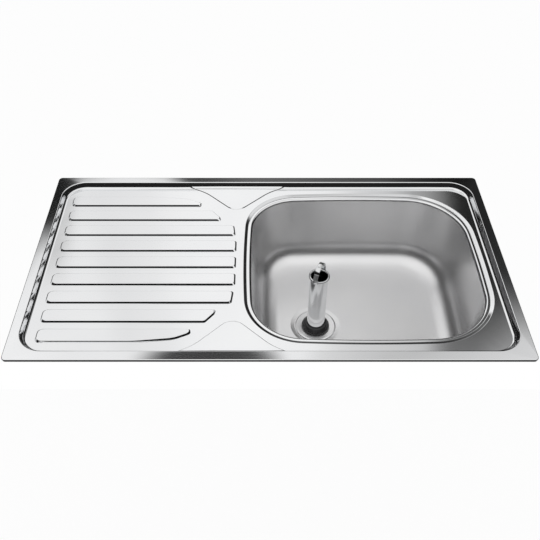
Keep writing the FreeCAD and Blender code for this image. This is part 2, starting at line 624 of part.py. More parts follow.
def clampPlaces():
    """Six clamps: two along each long rail and one on each short one, facing outwards."""
    places = []
    for x in ("-Dims.clampX", "Dims.clampX"):
        places += [(x, "-Dims.railY", 270), (x, "Dims.railY", 90)]
    return places + [("-Dims.railX", "0", 180), ("Dims.railX", "0", 0)]


def clampBolts():
    """Six bolts whose heads sit on the lips of the rails, as one group."""
    seat = size(deckUnder) - size("Dims.railHeight") + size("Dims.railGauge")
    half, tall = size("Dims.headWidth") / 2, size("Dims.headHeight")
    r, length = size("Dims.boltRadius"), size("Dims.boltLength")
    solids = []
    for x, y, _ in clampPlaces():
        foot = FreeCAD.Vector(size(x), size(y), seat)
        head = Part.makeBox(2 * half, 2 * half, tall, foot - FreeCAD.Vector(half, half, 0))
        head = head.makeFillet(0.8, [e for e in head.Edges if e.BoundBox.ZLength > tall / 2])
        shank = Part.makeCylinder(r, length, foot, FreeCAD.Vector(0, 0, -1))
        shank = shank.makeChamfer(0.7, [e for e in shank.Edges
                                        if e.BoundBox.ZMax < seat - length / 2])
        solids.append(head.fuse(shank).removeSplitter().Solids[0])
    bolts = doc.addObject("Part::Feature", "clamp_bolts")
    bolts.Label = "clamp_bolts"
    bolts.Shape = Part.makeCompound(solids)
    bolts.Placement = FreeCAD.Placement()
    PARTS.append(bolts)


def claw(index, x, y, turn):
    """A bent bar that turns on its bolt and grips the worktop from below."""
    body = newBody(f"clamp_claw_{index}", x, y, "Dims.clawLevel", turn)
    gauge, reach = size("Dims.clawGauge"), size("Dims.clawReach")
    profile = newSketch(body, "ClawProfile", plane="XZ_Plane")
    mid = gauge / 2
    strip(profile, [(-size("Dims.clawBack"), mid, 0), (reach - mid, mid, 1.5),
                    (reach - mid, size("Dims.clawRise"), 0)], gauge)
    pad(body, profile, "Dims.clawWidth", middle=True)
    hole = newSketch(body, "BoltHole", "Dims.clawGauge + 1")
    circle(hole, "Dims.clawHole", "hole")
    pocket(body, hole, "Dims.clawGauge + 2")
    notch = newSketch(body, "ToothGap", plane="YZ_Plane")
    top = size("Dims.clawRise")
    for side in (-1, 1):
        middle = side * size("Dims.clawWidth") / 4
        loop(notch, [(middle - 1.6, top + 1, 0), (middle, top - 2.4, 0.6),
                     (middle + 1.6, top + 1, 0)])
    pocket(body, notch, "2 * Dims.clawReach + 2", middle=True)


def wingNut(index, x, y, turn):
    """A wing nut below each claw."""
    body = newBody(f"wing_nut_{index}", x, y, "Dims.clawLevel - Dims.clampGap", turn)
    bore, hub, tall = size("Dims.nutBore"), size("Dims.nutHub"), size("Dims.nutTall")
    profile = newSketch(body, "HubProfile", plane="XZ_Plane")
    loop(profile, [(bore, -tall, 0), (hub - 1, -tall, 0.5), (hub, 0, 0.5), (bore, 0, 0)])
    revolve(body, profile)
    span, rise = size("Dims.wingSpan"), size("Dims.wingRise")
    wings = newSketch(body, "Wings", plane="XZ_Plane")
    for side in (1, -1):
        wing = [(hub - 1.4, -tall + 0.6, 0), (span - 2, -rise - 2, 2.5), (span, -rise + 4, 2.5),
                (span - 4, -rise + 6.4, 2), (hub - 1.4, -1.5, 0)]
        flipped = [(side * u, v, radius) for u, v, radius in wing]
        loop(wings, flipped if side > 0 else flipped[::-1])
    pad(body, wings, "Dims.wingGauge", middle=True)


# ---------------------------------------------------------------- soft parts

def rimSeal():
    """Foam strip in the hollow of the rim, squeezed flat against the worktop."""
    body = newBody("rim_seal")
    ring = newSketch(body, "SealRing")
    roundedRect(ring, "Dims.length / 2 - Dims.sealInset", "Dims.width / 2 - Dims.sealInset",
                "Dims.outerRadius - Dims.sealInset")
    reach = "(Dims.sealInset + Dims.sealWidth)"
    roundedRect(ring, f"Dims.length / 2 - {reach}", f"Dims.width / 2 - {reach}",
                "Dims.outerRadius", "Inner")
    pad(body, ring, "Dims.sealHeight")


def soundPad():
    """Damping pad stuck to the floor of the bowl from below."""
    body = newBody("sound_pad", "Dims.padX", "0", f"{floorLevel} - Dims.gauge")
    outline = newSketch(body, "PadOutline")
    roundedRect(outline, "Dims.padLength / 2", "Dims.padWidth / 2", "2 * Dims.outerRadius")
    pad(body, outline, "Dims.padHeight", down=True)


# ---------------------------------------------------------------- build, check, write

sinkTop()
bowl()
rimSeal()
soundPad()
wasteFlange()
flangeGasket()
underWaste()
standpipe()
rails()
clampBolts()
for number, (placeX, placeY, facing) in enumerate(clampPlaces(), 1):
    claw(number, placeX, placeY, facing)
    wingNut(number, placeX, placeY, facing)
doc.recompute()

for thing in doc.Objects:
    if "Invalid" in thing.State or "Error" in thing.State:
        raise RuntimeError(f"{thing.Name} failed: {thing.State}")
for part in PARTS:
    if part.Shape.isNull() or not part.Shape.isValid():
        raise RuntimeError(f"{part.Label} has no sound shape")

os.makedirs("parts", exist_ok=True)
for part in PARTS:
    part.Shape.exportStep(f"parts/{part.Label}.step")
    box = part.Shape.optimalBoundingBox()
    print(f"{part.Label:16s} solids {len(part.Shape.Solids)}  volume {part.Shape.Volume:10.0f}  "
          f"x {box.XMin:.1f}..{box.XMax:.1f}  y {box.YMin:.1f}..{box.YMax:.1f}  "
          f"z {box.ZMin:.1f}..{box.ZMax:.1f}")
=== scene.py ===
import math

import bpy
import numpy as np
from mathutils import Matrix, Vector
from mathutils.geometry import delaunay_2d_cdt


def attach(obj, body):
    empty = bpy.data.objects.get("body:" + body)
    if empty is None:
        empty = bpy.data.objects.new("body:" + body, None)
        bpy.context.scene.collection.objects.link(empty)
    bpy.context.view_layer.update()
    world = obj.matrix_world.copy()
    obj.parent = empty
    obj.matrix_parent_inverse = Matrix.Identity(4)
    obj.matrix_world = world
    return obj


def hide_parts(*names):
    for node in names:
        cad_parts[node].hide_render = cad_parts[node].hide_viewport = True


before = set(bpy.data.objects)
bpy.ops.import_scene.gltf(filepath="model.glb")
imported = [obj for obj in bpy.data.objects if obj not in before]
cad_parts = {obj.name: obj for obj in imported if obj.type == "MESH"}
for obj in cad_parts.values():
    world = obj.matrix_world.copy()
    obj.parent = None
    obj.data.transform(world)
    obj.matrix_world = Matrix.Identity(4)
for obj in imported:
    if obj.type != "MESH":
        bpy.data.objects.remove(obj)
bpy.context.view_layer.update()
mm = 0.001
print("frame: the packed sink is in place")

# Outlines, profiles and heights are in millimetres; a mesh is turned into metres when it is made.


def filleted(corners, perArc=6):
    # a run of straight lines (across, height, radius) with its corners rounded
    points = []
    for k, (across, height, radius) in enumerate(corners):
        here = Vector((across, height))
        if not radius:
            points.append(tuple(here))
            continue
        before = (Vector(corners[k - 1][:2]) - here).normalized()
        after = (Vector(corners[k + 1][:2]) - here).normalized()
        half = before.angle(after) / 2
        centre = here + (before + after).normalized() * (radius / math.sin(half))
        first = here + before * (radius / math.tan(half)) - centre
        last = here + after * (radius / math.tan(half)) - centre
        turn = first.angle(last)
        for step in range(perArc + 1):
            share = step / perArc
            points.append(tuple(centre + (first * math.sin((1 - share) * turn)
                                          + last * math.sin(share * turn)) / math.sin(turn)))
    return points


def arcPoints(centre, radius, start, end, count):
    # points along an arc, both ends included; angles in radians
    return [(centre[0] + radius * math.cos(start + (end - start) * k / count),
             centre[1] + radius * math.sin(start + (end - start) * k / count))
            for k in range(count + 1)]


def rectLoop(halfX, halfY, radius, perCorner=14, perSide=1):
    # a rectangle with round corners, anticlockwise from the right side's back end
    loop = []
    for k, (sx, sy) in enumerate(((1, 1), (-1, 1), (-1, -1), (1, -1))):
        centre = (sx * (halfX - radius), sy * (halfY - radius))
        corner = arcPoints(centre, radius, math.pi / 2 * k, math.pi / 2 * (k + 1), perCorner)
        if loop and perSide > 1:
            loop += divided(loop[-1], corner[0], perSide)
        loop += corner
    if perSide > 1:
        loop += divided(loop[-1], loop[0], perSide)
    return loop


def divided(start, end, count):
    # the points between two ends of a straight run
    return [(start[0] + (end[0] - start[0]) * k / count, start[1] + (end[1] - start[1]) * k / count)
            for k in range(1, count)]


def cornerLoop(corners, grow=0.0, perArc=6):
    # an outline of straight runs (x, y, radius), anticlockwise, grown evenly outwards
    count = len(corners)
    runs = []
    for k in range(count):
        x, y = corners[k][:2]
        toX, toY = corners[(k + 1) % count][:2]
        length = math.dist((x, y), (toX, toY))
        ux, uy = (toX - x) / length, (toY - y) / length
        runs.append((x + uy * grow, y - ux * grow, ux, uy))
    loop = []
    for k in range(count):
        ax, ay, aux, auy = runs[k - 1]
        bx, by, bux, buy = runs[k]
        cross = aux * buy - auy * bux
        t = ((bx - ax) * buy - (by - ay) * bux) / cross
        x, y = ax + aux * t, ay + auy * t
        radius = corners[k][2]
        if radius:
            radius = max(radius + math.copysign(grow, cross), 0.05)
        reach = radius * math.tan(math.acos(max(-1, min(1, aux * bux + auy * buy))) / 2)
        if not radius:
            loop.append((x, y))
            continue
        side = math.copysign(radius, cross)
        start = (x - aux * reach, y - auy * reach)
        centre = (start[0] - auy * side, start[1] + aux * side)
        first = math.atan2(start[1] - centre[1], start[0] - centre[0])
        turn = math.copysign(math.acos(max(-1, min(1, aux * bux + auy * buy))), cross)
        loop += arcPoints(centre, radius, first, first + turn, perArc)
    return loop


bowlPlan = {
    "left": -28, "right": 346, "half": 167, "longRadius": 2400, "endRadius": 1900,
    "tightCorner": 80, "wideCorner": 98, "perSide": 10, "perCorner": 18,
}


def bowlLoop(grow=0.0):
    # the bowl's outline at its mouth, grown evenly outwards: four bulged sides, four corners
    plan = bowlPlan
    left, right, half = plan["left"], plan["right"], plan["half"]
    middle, longR, endR = (left + right) / 2, plan["longRadius"], plan["endRadius"]
    tight, wide = plan["tightCorner"], plan["wideCorner"]
    sides = [((right - endR, 0), endR), ((middle, half - longR), longR),
             ((left + endR, 0), endR), ((middle, longR - half), longR)]
    corners = []
    for k, radius in enumerate((wide, tight, tight, wide)):
        (ax, ay), ar = sides[k]
        (bx, by), br = sides[(k + 1) % 4]
        near = (right if k in (0, 3) else left, half if k < 2 else -half)
        corners.append((crossing((ax, ay), ar - radius, (bx, by), br - radius, near), radius))
    loop = []
    for k in range(4):
        centre, radius = sides[k]
        before, after = corners[k - 1][0], corners[k][0]
        start = math.atan2(before[1] - centre[1], before[0] - centre[0])
        end = math.atan2(after[1] - centre[1], after[0] - centre[0])
        end += 2 * math.pi if end < start - math.pi else 0
        loop += arcPoints(centre, radius + grow, start, end, plan["perSide"])[:-1]
        centre, radius = corners[k]
        follow = sides[(k + 1) % 4][0]
        start = end
        end = math.atan2(centre[1] - follow[1], centre[0] - follow[0])
        end += 2 * math.pi if end < start - math.pi else 0
        end -= 2 * math.pi if end > start + math.pi else 0
        loop += arcPoints(centre, radius + grow, start, end, plan["perCorner"])[:-1]
    return loop


def crossing(c1, r1, c2, r2, near):
    # where two circles cross, on the side of a given point
    dx, dy = c2[0] - c1[0], c2[1] - c1[1]
    apart = math.hypot(dx, dy)
    a = (r1 * r1 - r2 * r2 + apart * apart) / (2 * apart)
    h = math.sqrt(r1 * r1 - a * a)
    mx, my = c1[0] + a * dx / apart, c1[1] + a * dy / apart
    return min(((mx - h * dy / apart, my + h * dx / apart),
                (mx + h * dy / apart, my - h * dx / apart)), key=lambda p: math.dist(p, near))


def loopDistance(points, loop):
    # how far each point is outside a closed outline; inside it is negative
    points, loop = np.asarray(points, float), np.asarray(loop, float)
    ends = np.roll(loop, -1, axis=0)
    best = np.full(len(points), 1e9)
    inside = np.zeros(len(points), bool)
    for (ax, ay), (bx, by) in zip(loop, ends):
        dx, dy = bx - ax, by - ay
        px, py = points[:, 0] - ax, points[:, 1] - ay
        t = np.clip((px * dx + py * dy) / max(dx * dx + dy * dy, 1e-12), 0, 1)
        best = np.minimum(best, np.hypot(px - t * dx, py - t * dy))
        if ay != by:
            crosses = (ay > points[:, 1]) != (by > points[:, 1])
            inside ^= crosses & (points[:, 0] < dx * (points[:, 1] - ay) / dy + ax)
    return np.where(inside, -best, best)


def rectDistance(points, halfX, halfY, radius):
    # the same for a rectangle with round corners
    x = np.abs(points[:, 0]) - halfX + radius
    y = np.abs(points[:, 1]) - halfY + radius
    return np.hypot(np.maximum(x, 0), np.maximum(y, 0)) + np.minimum(np.maximum(x, y), 0) - radius


def planMesh(loops, keep):
    # triangles over the plan with every loop as an edge; keep picks them by their middles
    points, edges = [], []
    for loop in loops:
        first = len(points)
        points += [Vector(p) for p in loop]
        edges += [(first + k, first + (k + 1) % len(loop)) for k in range(len(loop))]
    made = delaunay_2d_cdt(points, edges, [], 0, 1e-4)
    plan = np.array([tuple(v) for v in made[0]])
    faces = np.array(made[2])
    return plan, faces[keep(plan[faces].mean(axis=1))]


def loftFaces(rings, count):
    # quads between rings of the same number of points, laid one after another
    return [(r * count + k, r * count + (k + 1) % count, (r + 1) * count + (k + 1) % count,
             (r + 1) * count + k) for r in range(rings - 1) for k in range(count)]


def joined(*meshes):
    # several (points, faces) as one, with points in the same place made one
    points, faces, placeOf = [], [], {}
    for verts, polys in meshes:
        index = []
        for v in verts:
            key = tuple(round(c, 3) for c in v)
            if key not in placeOf:
                placeOf[key] = len(points)
                points.append(tuple(v))
            index.append(placeOf[key])
        for poly in polys:
            poly = list(dict.fromkeys(index[k] for k in poly))
            if len(poly) > 2:
                faces.append(poly)
    return np.array(points), faces


def faceNormals(points, faces):
    # each face's normal, as long as the face is large
    normals = np.zeros((len(faces), 3))
    for k, face in enumerate(faces):
        ring = points[face]
        normals[k] = np.cross(ring, np.roll(ring, -1, axis=0)).sum(axis=0) / 2
    return normals


def weightedNormals(points, faces):
    # point normals in which large faces count for more, so that flats stay flat
    whole = faceNormals(points, faces)
    normals = np.zeros((len(points), 3))
    for normal, face in zip(whole, faces):
        normals[face] += normal
    return normals / np.maximum(np.linalg.norm(normals, axis=1, keepdims=True), 1e-12)


def makeObject(name, points, faces, loopNormals=None):
    mesh = bpy.data.meshes.new(name)
    mesh.from_pydata([tuple(np.array(p) * mm) for p in points], [], [list(map(int, f)) for f in faces])
    mesh.polygons.foreach_set("use_smooth", [True] * len(mesh.polygons))
    if loopNormals is not None:
        mesh.normals_split_custom_set([tuple(n) for n in loopNormals])
    thing = bpy.data.objects.new(name, mesh)
    bpy.context.scene.collection.objects.link(thing)
    return thing


def sheetObject(name, points, faces, gauge):
    # a pressed sheet: the upper skin as given, the lower one gauge below it, the rims closed
    points = np.array(points)
    normals = weightedNormals(points, faces)
    count = len(points)
    every = np.vstack([points, points - normals * gauge])
    openEdges = {}
    for face in faces:
        for a, b in zip(face, face[1:] + face[:1]):
            if (b, a) in openEdges:
                del openEdges[(b, a)]
            else:
                openEdges[(a, b)] = True
    polys = [list(f) for f in faces] + [[k + count for k in reversed(f)] for f in faces]
    loopNormals = [normals[k] for f in faces for k in f]
    loopNormals += [-normals[k] for f in faces for k in reversed(f)]
    for a, b in openEdges:
        side = [b, a, a + count, b + count]
        across = np.cross(every[a] - every[b], every[a + count] - every[a])
        across /= max(np.linalg.norm(across), 1e-12)
        polys.append(side)
        loopNormals += [across] * 4
    return makeObject(name, every, polys, loopNormals)


def turnedObject(name, profile, centre, segments=96, sharp=35):
    # a ring or tube turned from a closed profile of (radius, height)
    count = len(profile)
    points, faces = [], []
    for s in range(segments):
        angle = 2 * math.pi * s / segments
        points += [(centre[0] + r * math.cos(angle), centre[1] + r * math.sin(angle), centre[2] + z)
                   for r, z in profile]
    for s in range(segments):
        here, after = s * count, (s + 1) % segments * count
        for k in range(count):
            nextK = (k + 1) % count
            faces.append((here + k, after + k, after + nextK, here + nextK))
    thing = makeObject(name, points, faces)
    thing.data.set_sharp_from_angle(angle=math.radians(sharp))
    return thing


def nodeGroup(name, inputs, outputs):
    group = bpy.data.node_groups.new(name, "ShaderNodeTree")
    for label, kind, start in inputs:
        socket = group.interface.new_socket(label, in_out="INPUT", socket_type=kind)
        if start is not None:
            socket.default_value = start
    for label, kind in outputs:
        group.interface.new_socket(label, in_out="OUTPUT", socket_type=kind)
    return group, group.nodes.new("NodeGroupInput"), group.nodes.new("NodeGroupOutput")


def addNode(tree, kind, inputs=None, **settings):
    # a node with its settings; an input is a value or another node's output
    node = tree.nodes.new(kind)
    for key, setting in settings.items():
        setattr(node, key, setting)
    for key, given in (inputs or {}).items():
        if isinstance(given, bpy.types.NodeSocket):
            tree.links.new(given, node.inputs[key])
        else:
            node.inputs[key].default_value = given
    return node


def rolledGrainGroup():
    # fine lines along the sheet, with a slow swell that bends reflections a little
    group, given, result = nodeGroup(
        "rolledGrain", [("lineScale", "NodeSocketFloat", 900.0), ("swellScale", "NodeSocketFloat", 9.0),
                        ("stretch", "NodeSocketFloat", 0.02)],
        [("lines", "NodeSocketFloat"), ("swell", "NodeSocketFloat")])
    place = addNode(group, "ShaderNodeTexCoord")
    parts = addNode(group, "ShaderNodeSeparateXYZ", {0: place.outputs["Object"]})
    short = addNode(group, "ShaderNodeMath", {0: parts.outputs[0], 1: given.outputs["stretch"]},
                    operation="MULTIPLY")
    drawn = addNode(group, "ShaderNodeCombineXYZ", {0: short.outputs[0], 1: parts.outputs[1],
                                                    2: parts.outputs[2]})
    lines = addNode(group, "ShaderNodeTexNoise", {"Vector": drawn.outputs[0],
                                                  "Scale": given.outputs["lineScale"], "Detail": 2.0})
    swell = addNode(group, "ShaderNodeTexNoise", {"Vector": place.outputs["Object"],
                                                  "Scale": given.outputs["swellScale"], "Detail": 1.0})
    group.links.new(lines.outputs[0], result.inputs["lines"])
    group.links.new(swell.outputs[0], result.inputs["swell"])
    return group


rolledGrain = rolledGrainGroup()


def newMaterial(name):
    material = bpy.data.materials.new(name)
    material.use_nodes = True
    tree = material.node_tree
    return material, tree, tree.nodes["Principled BSDF"]


# how far the grain's noise is stretched, how much it turns the gloss, and its depth in metres
grainRange = {"cloudLow": 0.3, "cloudHigh": 0.7, "lineLow": 0.25, "lineHigh": 0.75, "glossShare": 0.15,
              "lineStep": 0.0001, "swellStep": 0.001, "softGlossShare": 0.2, "softStep": 0.0004}


def steelMaterial(name, look):
    # bare or plated metal: grain turns the gloss a little, swell bends the reflections
    material, tree, shader = newMaterial(name)
    grain = addNode(tree, "ShaderNodeGroup", node_tree=rolledGrain)
    grain.inputs["lineScale"].default_value = look["lineScale"]
    grain.inputs["swellScale"].default_value = look["swellScale"]
    grain.inputs["stretch"].default_value = look["stretch"]
    tint = addNode(tree, "ShaderNodeMapRange", {"Value": grain.outputs["swell"],
                                                "From Min": grainRange["cloudLow"],
                                                "From Max": grainRange["cloudHigh"]})
    colour = addNode(tree, "ShaderNodeMix", {0: tint.outputs[0]}, data_type="RGBA")
    colour.inputs[6].default_value = (*look["colour"], 1)
    colour.inputs[7].default_value = (*look["cloud"], 1)
    gloss = addNode(tree, "ShaderNodeMapRange",
                    {"Value": grain.outputs["lines"], "From Min": grainRange["lineLow"],
                     "From Max": grainRange["lineHigh"],
                     "To Min": look["roughness"] * (1 - grainRange["glossShare"]),
                     "To Max": look["roughness"] * (1 + grainRange["glossShare"])})
    fine = addNode(tree, "ShaderNodeBump", {"Height": grain.outputs["lines"],
                                            "Strength": look["lineDepth"],
                                            "Distance": grainRange["lineStep"]})
    slow = addNode(tree, "ShaderNodeBump", {"Height": grain.outputs["swell"],
                                            "Strength": look["swellDepth"],
                                            "Distance": grainRange["swellStep"],
                                            "Normal": fine.outputs[0]})
    shader.inputs["Metallic"].default_value = 1.0
    tree.links.new(colour.outputs[2], shader.inputs["Base Color"])
    tree.links.new(gloss.outputs[0], shader.inputs["Roughness"])
    tree.links.new(slow.outputs[0], shader.inputs["Normal"])
    return material


def softMaterial(name, look):
    # rubber, foam and plastic: a mottled colour and a fine grained surface
    material, tree, shader = newMaterial(name)
    place = addNode(tree, "ShaderNodeTexCoord")
    mottle = addNode(tree, "ShaderNodeTexNoise", {"Vector": place.outputs["Object"],
                                                  "Scale": look["mottleScale"], "Detail": 4.0})
    grain = addNode(tree, "ShaderNodeTexNoise", {"Vector": place.outputs["Object"],
                                                 "Scale": look["grainScale"], "Detail": 3.0})
    colour = addNode(tree, "ShaderNodeMix", {0: mottle.outputs[0]}, data_type="RGBA")
    colour.inputs[6].default_value = (*look["colour"], 1)
    colour.inputs[7].default_value = (*look["cloud"], 1)
    gloss = addNode(tree, "ShaderNodeMapRange",
                    {"Value": mottle.outputs[0],
                     "To Min": look["roughness"] * (1 - grainRange["softGlossShare"]),
                     "To Max": look["roughness"] * (1 + grainRange["softGlossShare"])})
    bump = addNode(tree, "ShaderNodeBump", {"Height": grain.outputs[0],
                                            "Strength": look["grainDepth"],
                                            "Distance": grainRange["softStep"]})
    tree.links.new(colour.outputs[2], shader.inputs["Base Color"])
    tree.links.new(gloss.outputs[0], shader.inputs["Roughness"])
    tree.links.new(bump.outputs[0], shader.inputs["Normal"])
    return material


finishes = {
    "polishedSteel": steelMaterial("polishedSteel", {
        "colour": (0.86, 0.865, 0.87), "cloud": (0.83, 0.835, 0.845), "roughness": 0.07,
        "lineScale": 900, "swellScale": 9, "stretch": 0.02, "lineDepth": 0.006, "swellDepth": 0.2}),
    "satinSteel": steelMaterial("satinSteel", {
        "colour": (0.85, 0.848, 0.85), "cloud": (0.81, 0.81, 0.815), "roughness": 0.32,
        "lineScale": 1400, "swellScale": 12, "stretch": 0.6, "lineDepth": 0.05, "swellDepth": 0.1}),
    "chromePlate": steelMaterial("chromePlate", {
        "colour": (0.72, 0.73, 0.74), "cloud": (0.69, 0.695, 0.70), "roughness": 0.08,
        "lineScale": 1200, "swellScale": 30, "stretch": 1.0, "lineDepth": 0.01, "swellDepth": 0.05}),
    "zincSteel": steelMaterial("zincSteel", {
        "colour": (0.60, 0.61, 0.63), "cloud": (0.50, 0.50, 0.50), "roughness": 0.34,
        "lineScale": 700, "swellScale": 120, "stretch": 0.7, "lineDepth": 0.1, "swellDepth": 0.1}),
    "blackRubber": softMaterial("blackRubber", {
        "colour": (0.012, 0.012, 0.013), "cloud": (0.02, 0.02, 0.021), "roughness": 0.25,
        "mottleScale": 60, "grainScale": 1500, "grainDepth": 0.05}),
    "whitePlastic": softMaterial("whitePlastic", {
        "colour": (0.80, 0.80, 0.78), "cloud": (0.76, 0.76, 0.74), "roughness": 0.42,
        "mottleScale": 40, "grainScale": 1800, "grainDepth": 0.15}),
    "sealFoam": softMaterial("sealFoam", {
        "colour": (0.12, 0.12, 0.125), "cloud": (0.20, 0.20, 0.205), "roughness": 0.9,
        "mottleScale": 700, "grainScale": 1400, "grainDepth": 0.9}),
    "dampingPad": softMaterial("dampingPad", {
        "colour": (0.07, 0.07, 0.072), "cloud": (0.11, 0.11, 0.112), "roughness": 0.8,
        "mottleScale": 90, "grainScale": 600, "grainDepth": 0.7}),
}
print("finishes: steel, chrome, zinc, rubber, plastic, foam and damping sheet")


def dress(thing, finish, slot, body, *nodes):
    # finish, ride and stand in for CAD nodes in one go
    thing.data.materials.append(finishes[finish])
    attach(thing, body)
    if nodes:
        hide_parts(*nodes)
    return thing


topShape = {
    "length": 780, "width": 435, "outerRadius": 7, "gauge": 0.8,
    "lipHeight": 3.8, "lipRound": 1.6, "rimTop": 5, "crownX": 374, "crownY": 201, "crownRadius": 39,
    "stepRun": 5, "deck": -5.5, "crownRound": 1.8, "footRound": 6,
    "seatStart": 13.5, "seatRun": 5, "seatDrop": 1.8, "seatRound": 3, "opening": 8,
    "ribRise": 2.9, "ribRun": 2.0, "ribFoot": 0.25, "ribCrown": 0.7,
    "islandRise": 1.5, "islandRun": 1.05, "islandRound": 0.8,
    # how far the profiles run on over the rim and the deck, and how finely the loops are divided
    "rimBeyond": 6, "deckBeyond": 60, "slopeBeyond": 8, "perCorner": 18, "perSide": 16, "stepArc": 8,
    "ribArc": 12, "islandArc": 20,
}
ribShape = {
    "pitch": 40, "width": 27, "left": -353.3, "end": -54, "corner": 7, "shift": -4, "lean": 0.45,
    # right-hand ends, from the middle rib outwards: (x from the end line, y from the rib, round)
    "tips": ([(0, -13.5, 4), (0, 13.5, 4)],
             [(0, -13.5, 4), (0, 13.5, 4)],
             [(-2, -13.5, 4), (-5, 13.5, 4)],
             [(-28.5, -13.5, 3), (-30.5, -4, 5), (-44.5, 13.5, 4)],
             [(-66.5, -13.5, 3), (-64.5, -4, 5), (-90, 7.5, 50), (-150, 13.5, 200)]),
}
islandShape = {"x": -56.5, "tip": 125, "tipRound": 23, "arm": 57, "skew": 2, "bend": 90, "tuck": 1}


def ribOutlines():
    # nine ribs: their ends follow the bowl, and the outer ones sweep towards the rim
    half, corner, tips = ribShape["width"] / 2, ribShape["corner"], ribShape["tips"]
    outlines = []
    for k in range(1 - len(tips), len(tips)):
        side = -1 if k < 0 else 1
        left = ribShape["left"] - ribShape["lean"] * k
        middle = k * ribShape["pitch"] + ribShape["shift"]
        tip = [(ribShape["end"] + x, v, radius) for x, v, radius in tips[abs(k)]]
        placed = [(x, middle + side * v, radius)
                  for x, v, radius in [(left, -half, corner)] + tip + [(left, half, corner)]]
        outlines.append(placed if side > 0 else placed[::-1])
    return outlines


def islandOutlines():
    # a raised field each side, from the rim to a round tip between drainer and bowl
    x, tip, arm, bend = (islandShape[key] for key in ("x", "tip", "arm", "bend"))
    edge = topShape["crownY"] - islandShape["tuck"]
    flare = 2 * (edge - tip - arm)
    outlines = []
    for side in (1, -1):
        corners = [(x, tip, islandShape["tipRound"]), (x + arm + islandShape["skew"], tip + arm, bend),
                   (x + arm + flare, edge, 0), (x - arm - flare, edge, 0), (x - arm, tip + arm, bend)]
        flipped = [(u, side * v, radius) for u, v, radius in corners]
        outlines.append(flipped if side > 0 else flipped[::-1])
    return outlines


def slopeProfile(rise, run, foot, crown):
    # (distance inside the outline, height) of a pressed form's edge
    beyond = topShape["slopeBeyond"]
    return filleted([(-beyond, 0, 0), (0, 0, foot), (run, rise, crown), (run + beyond, rise, 0)])


def inner(profile):
    # the distances of a profile without its two far ends
    return [across for across, _ in profile[1:-1]]


def stepProfile():
    # (distance inside the crown's outline, height) of the rim's edge, the step and the deck
    shape = topShape
    slope = (shape["rimTop"] - shape["lipHeight"]) / (shape["length"] / 2 - shape["crownX"])
    beyond = shape["rimBeyond"]
    return filleted([(-beyond, shape["rimTop"] - beyond * slope, 0),
                     (0, shape["rimTop"], shape["crownRound"]),
                     (shape["stepRun"], shape["deck"], shape["footRound"]),
                     (shape["deckBeyond"], shape["deck"], 0)], shape["stepArc"])


def heightAt(profile, distance):
    across, height = zip(*profile)
    return np.interp(distance, across, height)


def sinkTop():
    shape = topShape
    step = stepProfile()
    rib = slopeProfile(shape["ribRise"], shape["ribRun"], shape["ribFoot"], shape["ribCrown"])
    island = slopeProfile(shape["islandRise"], shape["islandRun"], shape["islandRound"],
                          shape["islandRound"])
    seat = filleted([(0, -shape["seatDrop"], 0),
                     (shape["seatStart"] - shape["seatRun"], -shape["seatDrop"], shape["seatRound"]),
                     (shape["seatStart"], 0, shape["seatRound"]), (shape["deckBeyond"], 0, 0)])
    crown = (shape["crownX"], shape["crownY"], shape["crownRadius"])
    fineness = (shape["perCorner"], shape["perSide"])

    def crownLoop(inset):
        return rectLoop(crown[0] - inset, crown[1] - inset, crown[2] - inset, *fineness)

    loops = [crownLoop(d) for d in inner(step)]
    ribs, islands = ribOutlines(), islandOutlines()
    for corners in ribs:
        loops += [cornerLoop(corners, -d) for d in inner(rib)]
    for corners in islands:
        loops += [cornerLoop(corners, -d, shape["islandArc"]) for d in inner(island)]
    loops += [bowlLoop(shape["opening"])] + [bowlLoop(g) for g in inner(seat)]
    mouth = bowlLoop()

    def keep(middles):
        fromCrown = rectDistance(middles, *crown)
        return (loopDistance(middles, mouth) > shape["opening"]) & (fromCrown < -inner(step)[0])

    plan, faces = planMesh(loops, keep)
    height = heightAt(step, -rectDistance(plan, *crown))
    wall = (height - shape["deck"]) / (shape["rimTop"] - shape["deck"])
    for corners in islands:
        outline = cornerLoop(corners, 0, shape["islandArc"])
        height += (1 - wall) * heightAt(island, -loopDistance(plan, outline))
    for corners in ribs:
        height += heightAt(rib, -loopDistance(plan, cornerLoop(corners, 0, shape["ribArc"])))
    height += heightAt(seat, loopDistance(plan, mouth))
    well = (np.column_stack([plan, height]), faces.tolist())

    # the rim: from the turned lip over its round edge up the gentle slope to the crown
    edge = filleted([(0, 0, 0), (0, shape["lipHeight"], shape["lipRound"]),
                     (shape["length"] / 2 - crown[0], shape["rimTop"], 0)])
    rings = []
    for inset, level in edge[:-1]:
        rings.append([(x, y, level) for x, y in rectLoop(
            shape["length"] / 2 - inset, shape["width"] / 2 - inset, shape["outerRadius"] - inset,
            *fineness)])
    first = inner(step)[0]
    rings.append([(x, y, float(heightAt(step, first))) for x, y in crownLoop(first)])
    count = len(rings[0])
    rim = ([p for ring in rings for p in ring], loftFaces(len(rings), count))
    points, faces = joined(rim, well)
    top = sheetObject("sinkTop", points, faces, shape["gauge"])
    dress(top, "polishedSteel", "polished_steel", "root", "sink_top")
    print("top:", len(top.data.polygons), "faces")


bowlShape = {
    "flangeTop": -8.1, "flange": 12, "floor": -145, "draft": 9, "mouthRound": 5, "floorRound": 42,
    "gauge": 0.8, "drain": (85, -19.6), "dishRadius": 37.2, "dishSlope": 7, "dish": 1.6,
    "dishRound": 3, "hole": 25.2, "lipDrop": 1.2, "floorRun": 60, "dishBeyond": 200, "wallArc": 14,
    "drainPoints": 72,
}


